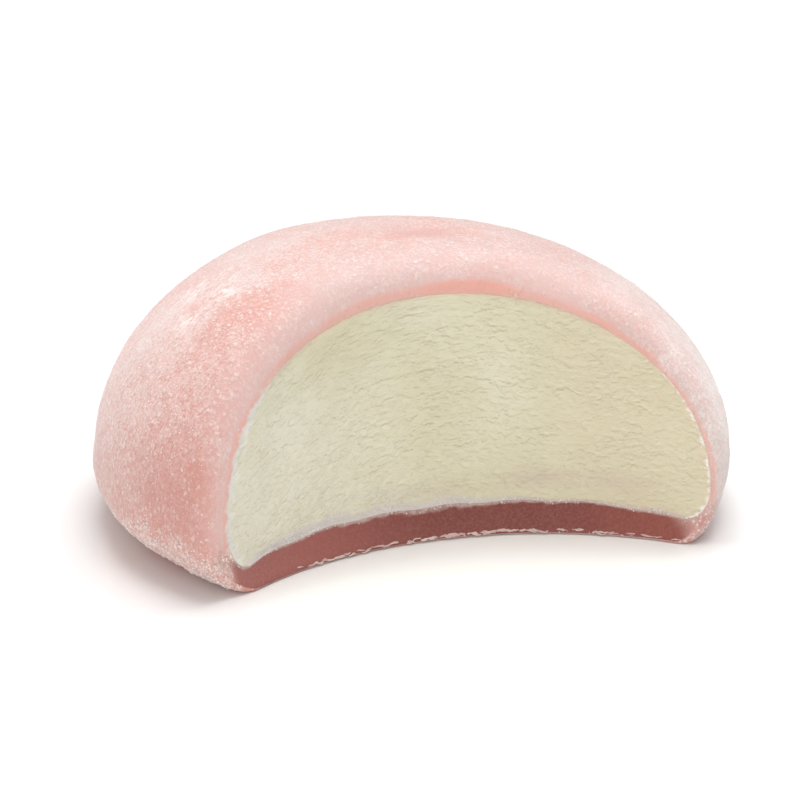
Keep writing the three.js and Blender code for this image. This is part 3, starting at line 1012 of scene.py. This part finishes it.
def scatterTree(name, material, rings, segments):
    # grains on a surface, as dense as its "grains" attribute says
    tree = bpy.data.node_groups.new(name, "GeometryNodeTree")
    addSockets(tree, "INPUT", "Geometry", "Geometry")
    addSockets(tree, "INPUT", "Float", "Density", "Grain Size", "Size Spread", "Flatness")
    addSockets(tree, "INPUT", "Int", "Seed")
    addSockets(tree, "OUTPUT", "Geometry", "Geometry")
    inside = addNode(tree, "NodeGroupInput").outputs
    wanted = addNode(tree, "GeometryNodeInputNamedAttribute", {"Name": "grains"}, data_type="FLOAT")
    density = times(tree, wanted.outputs["Attribute"], inside["Density"])
    inputs = {"Mesh": inside["Geometry"], "Density": density, "Seed": inside["Seed"]}
    scatter = addNode(tree, "GeometryNodeDistributePointsOnFaces", inputs, distribute_method="RANDOM")
    ball = addNode(tree, "GeometryNodeMeshUVSphere", {"Radius": 1.0, "Rings": rings, "Segments": segments})
    soft = addNode(tree, "GeometryNodeSetShadeSmooth", {"Geometry": ball.outputs["Mesh"]})

    # each grain is tipped a little, spun, and drawn in its own size and width
    tips = {"Min": (-0.25, -0.25, 0.0), "Max": (0.25, 0.25, 6.28)}
    turn = addNode(tree, "FunctionNodeRandomValue", tips, data_type="FLOAT_VECTOR")
    inputs = {"Rotation": scatter.outputs["Rotation"], "Rotate By": turn.outputs[0]}
    spin = addNode(tree, "FunctionNodeRotateRotation", inputs, rotation_space="LOCAL")
    draw = addNode(tree, "FunctionNodeRandomValue", {"Seed": inside["Seed"]}, data_type="FLOAT")
    spread = inside["Size Spread"]
    shrink = times(tree, mathNode(tree, "POWER", draw.outputs[1], 2.5), spread)
    shrink = mathNode(tree, "ADD", shrink, mathNode(tree, "SUBTRACT", 1.0, spread))
    size = times(tree, shrink, inside["Grain Size"])
    wide = addNode(tree, "FunctionNodeRandomValue", {2: 0.8, 3: 1.25}, data_type="FLOAT")
    width = times(tree, size, wide.outputs[1])
    thickness = times(tree, size, inside["Flatness"])
    form = addNode(tree, "ShaderNodeCombineXYZ", {"X": width, "Y": size, "Z": thickness})
    inputs = {
        "Points": scatter.outputs["Points"],
        "Instance": soft.outputs[0],
        "Rotation": spin.outputs["Rotation"],
        "Scale": form.outputs[0],
    }
    place = addNode(tree, "GeometryNodeInstanceOnPoints", inputs)
    real = addNode(tree, "GeometryNodeRealizeInstances", {"Geometry": place.outputs["Instances"]})
    inputs = {"Geometry": real.outputs["Geometry"], "Material": material}
    paint = addNode(tree, "GeometryNodeSetMaterial", inputs)
    addNode(tree, "NodeGroupOutput", {"Geometry": paint.outputs["Geometry"]})
    return tree


def scattered(name, source, densities, tree, settings):
    # runs the tree on a copy of a surface and keeps only the grains, as a plain mesh
    carrier = newObject(name + "Carrier", source.data.copy())
    setAttribute(carrier, "grains", densities)
    modifier = carrier.modifiers.new("scatter", "NODES")
    modifier.node_group = tree
    inputs = {
        "Density": settings["perSquareMm"] / metre ** 2,
        "Grain Size": settings["size"] * metre,
        "Size Spread": settings["sizeSpread"],
        "Flatness": settings["flatness"],
        "Seed": settings["seed"],
    }
    for item in tree.interface.items_tree:
        if item.in_out == "INPUT" and item.name in inputs:
            modifier[item.identifier] = inputs[item.name]
    carrier.update_tag()
    bpy.context.view_layer.update()
    evaluated = carrier.evaluated_get(bpy.context.evaluated_depsgraph_get())
    result = bpy.data.meshes.new_from_object(evaluated)
    carrier.modifiers.remove(modifier)
    bpy.data.objects.remove(carrier)
    result.name = name
    return newObject(name, result)


def joined(name, one, other):
    # two pieces of one kind as one piece
    shape = bmesh.new()
    shape.from_mesh(one.data)
    shape.from_mesh(other.data)
    shape.to_mesh(one.data)
    shape.free()
    bpy.data.objects.remove(other)
    one.name = name
    one.data.name = name
    return one


def readAttribute(piece, name):
    values = np.empty(len(piece.data.vertices), dtype=np.float32)
    piece.data.attributes[name].data.foreach_get("value", values)
    return values


def readPlaces(piece):
    places = np.empty(len(piece.data.vertices) * 3, dtype=np.float32)
    piece.data.vertices.foreach_get("co", places)
    return places.reshape(-1, 3)


flour = {
    "start": -12.4,
    "end": 17.9,
    "step": 0.03,
    "places": [-12.4, -10.0, -7.0, -3.0, -1.0, 0.8, 2.6, 4.0, 7.6, 12.0, 15.0, 18.7],
    "halfHeights": [0.02, 0.03, 0.035, 0.035, 0.045, 0.065, 0.06, 0.042, 0.038, 0.032, 0.028, 0.02],
    "strands": 3,
    "thinnest": 0.018,
    "above": 0.3,
    "wave": 0.11,
    "out": 0.01,
    "sides": 8,
}


def flourStrand(seed, first):
    # one broken, ragged thread of flour along the foot of the bite's wall
    x = np.arange(flour["start"], flour["end"], flour["step"])
    line = np.stack([x, 0.0 * x, 0.0 * x], axis=-1)
    half = np.interp(x, flour["places"], flour["halfHeights"])
    half = half * (0.45 + 1.3 * layeredNoise(line, 0.6, seed, 3))
    height = flour["above"] + flour["wave"] * layeredNoise(line, 0.9, seed + 3, 3)
    turns = np.linspace(0.0, 2.0 * math.pi, flour["sides"], endpoint=False)
    thick = half > flour["thinnest"]
    points = np.zeros((0, 3))
    faces = []
    for start in np.flatnonzero(thick & ~np.roll(thick, 1)):
        stop = start
        while stop < len(x) and thick[stop]:
            stop += 1
        if stop - start < 3:
            continue
        part = slice(start, stop)
        out = flour["out"] + half[part, None] * np.cos(turns)
        up = half[part, None] * np.sin(turns)
        ring = wallPoint(x[part, None] + 0.0 * out, np.maximum(height[part, None] + up, 0.01), out)
        ring = ring + 0.03 * softNoise(ring, 0.11, 79)[..., None] * np.array([1.0, 1.0, 0.7])
        ring[..., 2] = np.maximum(ring[..., 2], 0.01)
        ends = [np.mean(ring[0], axis=0), np.mean(ring[-1], axis=0)]
        more, newFaces = gridShape(ring, *ends, first=first + len(points))
        points = np.vstack([points, more])
        faces.extend(newFaces)
    return points, faces


def buildFlour():
    points = np.zeros((0, 3))
    faces = []
    for strand in range(flour["strands"]):
        more, newFaces = flourStrand(71 + 10 * strand, len(points))
        points = np.vstack([points, more])
        faces.extend(newFaces)
    return meshObject("flourLine", points, faces)


def frameShift(piece):
    # the dome's axis lies where it makes the dough's outline match the frame's node
    low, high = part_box("dough_skin")
    places = readPlaces(piece)
    middle = (places.min(axis=0) + places.max(axis=0)) / 2.0
    return Vector(((low[0] + high[0]) / 2.0 - middle[0], (low[1] + high[1]) / 2.0 - middle[1], 0.0))


def moveMesh(piece, shift):
    # onto the frame's axis, with nothing under the table's top
    places = readPlaces(piece) + np.array(shift, dtype=np.float32)
    places[:, 2] = np.maximum(places[:, 2], 0.0)
    piece.data.vertices.foreach_set("co", places.reshape(-1))
    piece.data.update()


def reportPiece(piece):
    count = sum(len(face.vertices) - 2 for face in piece.data.polygons)
    print(piece.name, "has", count, "triangles")


around = columnAngles(dough["columns"])
outerAway = edgeAway(around, outerBitten)
innerAway = edgeAway(around, innerBitten)
print("the bite's edges are found")

starch = buildStarchGroup()
doughPiece = buildDough(around, outerAway, innerAway)
reportPiece(doughPiece)
creamPiece = buildCream(around, innerAway)
reportPiece(creamPiece)

doughPiece.data.materials.append(doughMaterial(starch))
creamPiece.data.materials.append(creamMaterial(starch))

# Nothing is scattered from the lip's last row inwards, or up to the bitten face's first row
shownCount = dough["columns"] * (dough["outsideRows"] + dough["lipRows"] - 1)
hiddenCount = cream["bodyRows"] * dough["columns"]
names = ("grit", "crust", "scuff", "cut", "rim", "lip", "fuzz", "frosty")
grit, crust, scuff, cut, rim, lip, fuzz, frosty = (readAttribute(doughPiece, name) for name in names)
heights = readPlaces(doughPiece)[:, 2] / metre
density = (0.04 + 0.9 * grit ** 2 + 0.5 * crust + 0.2 * scuff) * (1.0 - cut) * (1.0 - 0.9 * rim)
density = density * (1.0 - 0.8 * lip) * smoothStep(0.02, 0.4, heights)
density[shownCount:] = 0.0
crustDensity = smoothStep(0.12, 0.6, crust) * (1.0 - cut)
crustDensity[shownCount:] = 0.0
starchPaint = grainMaterial("starchGrains", linear(253, 238, 232), linear(247, 220, 211), starch)
flourPaint = grainMaterial("flour", linear(228, 206, 198), linear(208, 172, 163), starch)
grainTree = scatterTree("grainScatter", starchPaint, 3, 5)
looseGrains = scattered("looseGrains", doughPiece, density, grainTree, grains)
crustPiece = scattered("crustGrains", doughPiece, crustDensity, grainTree, crustGrains)
grainPiece = joined("starchGrains", looseGrains, crustPiece)
fleckTree = scatterTree("fleckScatter", starchPaint, 2, 4)
fleckPiece = scattered("starchFlecks", doughPiece, density, fleckTree, flecks)
flourPiece = buildFlour()
flourPiece.data.materials.append(flourPaint)

seamDensity = smoothStep(1.1, 0.5, readAttribute(creamPiece, "seamShare"))
seamDensity = seamDensity + 0.4 * smoothStep(1.0, 0.3, readAttribute(creamPiece, "fringeShare"))
seamDensity[:hiddenCount] = 0.0
seamDensity[-2:] = 0.0  # the two poles
rimDensity = 0.5 * fuzz ** 2 + frosty
rimDensity[shownCount:] = 0.0
frostPaint = grainMaterial("frost", linear(250, 246, 240), linear(234, 224, 218), starch)
frostTree = scatterTree("frostScatter", frostPaint, 3, 5)
frostOnCream = scattered("frostOnCream", creamPiece, seamDensity, frostTree, frostCrumbs)
frostOnDough = scattered("frostOnDough", doughPiece, rimDensity, frostTree, frostCrumbs)
frostPiece = joined("frostCrumbs", frostOnCream, frostOnDough)
pieces = [doughPiece, creamPiece, grainPiece, fleckPiece, flourPiece, frostPiece]
shift = frameShift(doughPiece)
for piece in pieces:
    moveMesh(piece, shift)
    reportPiece(piece)
print("the dome's axis is at", tuple(round(value, 5) for value in shift))

for piece in pieces:
    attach(piece, "root")
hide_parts("dough_skin")
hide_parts("ice_cream")

table = {
    "width": 6.0,
    "finish": {"Base Color": (0.93, 0.93, 0.93, 1.0), "Roughness": 0.2, "Specular IOR Level": 0.9},
}
sky = {"atHorizon": 0.25, "above": 0.6, "colour": (1.0, 0.99, 0.98, 1.0), "seen": (1.0, 1.0, 1.0, 1.0)}
lamps = {
    "overhead": {"power": 2.1, "size": 0.32, "place": (0.05, 0.12, 0.49), "colour": (1.0, 1.0, 1.0)},
    "key": {"power": 0.5, "size": 0.35, "place": (0.32, 0.20, 0.42), "colour": (1.0, 1.0, 1.0)},
    "fill": {"power": 1.15, "size": 0.4, "place": (-0.34, -0.46, 0.20), "colour": (1.0, 0.98, 0.96)},
}
view = {
    "distance": 0.300,
    "azimuth": -16.29,
    "elevation": 20.43,
    "aimHeight": 0.010,
    "focalPixels": 3820.0,
    "axisPixelX": 410.3,
    "axisPixelY": 385.3,
    "frame": 800.0,
    "sensor": 36.0,
}


def buildTable():
    half = table["width"] / 2.0
    corners = [(-half, -half, 0), (half, -half, 0), (half, half, 0), (-half, half, 0)]
    mesh = bpy.data.meshes.new("table")
    mesh.from_pydata(corners, [], [(0, 1, 2, 3)])
    mesh.materials.append(newMaterial("whiteTable", table["finish"])[0])
    top = newObject("table", mesh)


def buildSky():
    # a white backdrop for the camera, and a softer sky for what it lights
    world = bpy.data.worlds.new("studio")
    bpy.context.scene.world = world
    world.use_nodes = True
    tree = world.node_tree
    tree.nodes.clear()
    direction = addNode(tree, "ShaderNodeTexCoord").outputs["Generated"]
    axes = addNode(tree, "ShaderNodeSeparateXYZ", {0: direction}).outputs
    inputs = {"Value": axes["Z"], "To Min": sky["atHorizon"], "To Max": sky["above"]}
    height = addNode(tree, "ShaderNodeMapRange", inputs).outputs["Result"]
    seen = addNode(tree, "ShaderNodeBackground", {"Color": sky["seen"], "Strength": 1.0})
    lit = addNode(tree, "ShaderNodeBackground", {"Color": sky["colour"], "Strength": height})
    path = addNode(tree, "ShaderNodeLightPath").outputs["Is Camera Ray"]
    both = addNode(tree, "ShaderNodeMixShader", {0: path, 1: lit.outputs[0], 2: seen.outputs[0]})
    addNode(tree, "ShaderNodeOutputWorld", {"Surface": both.outputs[0]})


def buildLamp(name, settings, axis):
    data = bpy.data.lights.new(name, "AREA")
    data.energy = settings["power"]
    data.size = settings["size"]
    data.color = settings["colour"]
    lamp = newObject(name, data)
    lamp.location = axis + Vector(settings["place"])
    aim = axis + Vector((0.0, 0.0, view["aimHeight"])) - lamp.location
    lamp.rotation_euler = aim.to_track_quat("-Z", "Y").to_euler()


def buildCamera(axis):
    azimuth = math.radians(view["azimuth"])
    elevation = math.radians(view["elevation"])
    level = math.cos(elevation)
    back = Vector((math.sin(azimuth) * level, -math.cos(azimuth) * level, math.sin(elevation)))
    data = bpy.data.cameras.new("camera")
    data.sensor_width = view["sensor"]
    data.lens = view["focalPixels"] * view["sensor"] / view["frame"]
    data.shift_x = (view["frame"] / 2.0 - view["axisPixelX"]) / view["frame"]
    data.shift_y = (view["axisPixelY"] - view["frame"] / 2.0) / view["frame"]
    data.clip_start = 0.01
    data.clip_end = 20.0
    camera = newObject("camera", data)
    camera.location = axis + Vector((0.0, 0.0, view["aimHeight"])) + back * view["distance"]
    camera.rotation_euler = (-back).to_track_quat("-Z", "Y").to_euler()
    bpy.context.scene.camera = camera


buildTable()
buildSky()
for name, settings in lamps.items():
    buildLamp(name, settings, shift)
buildCamera(shift)
bpy.context.scene.view_settings.view_transform = "Standard"
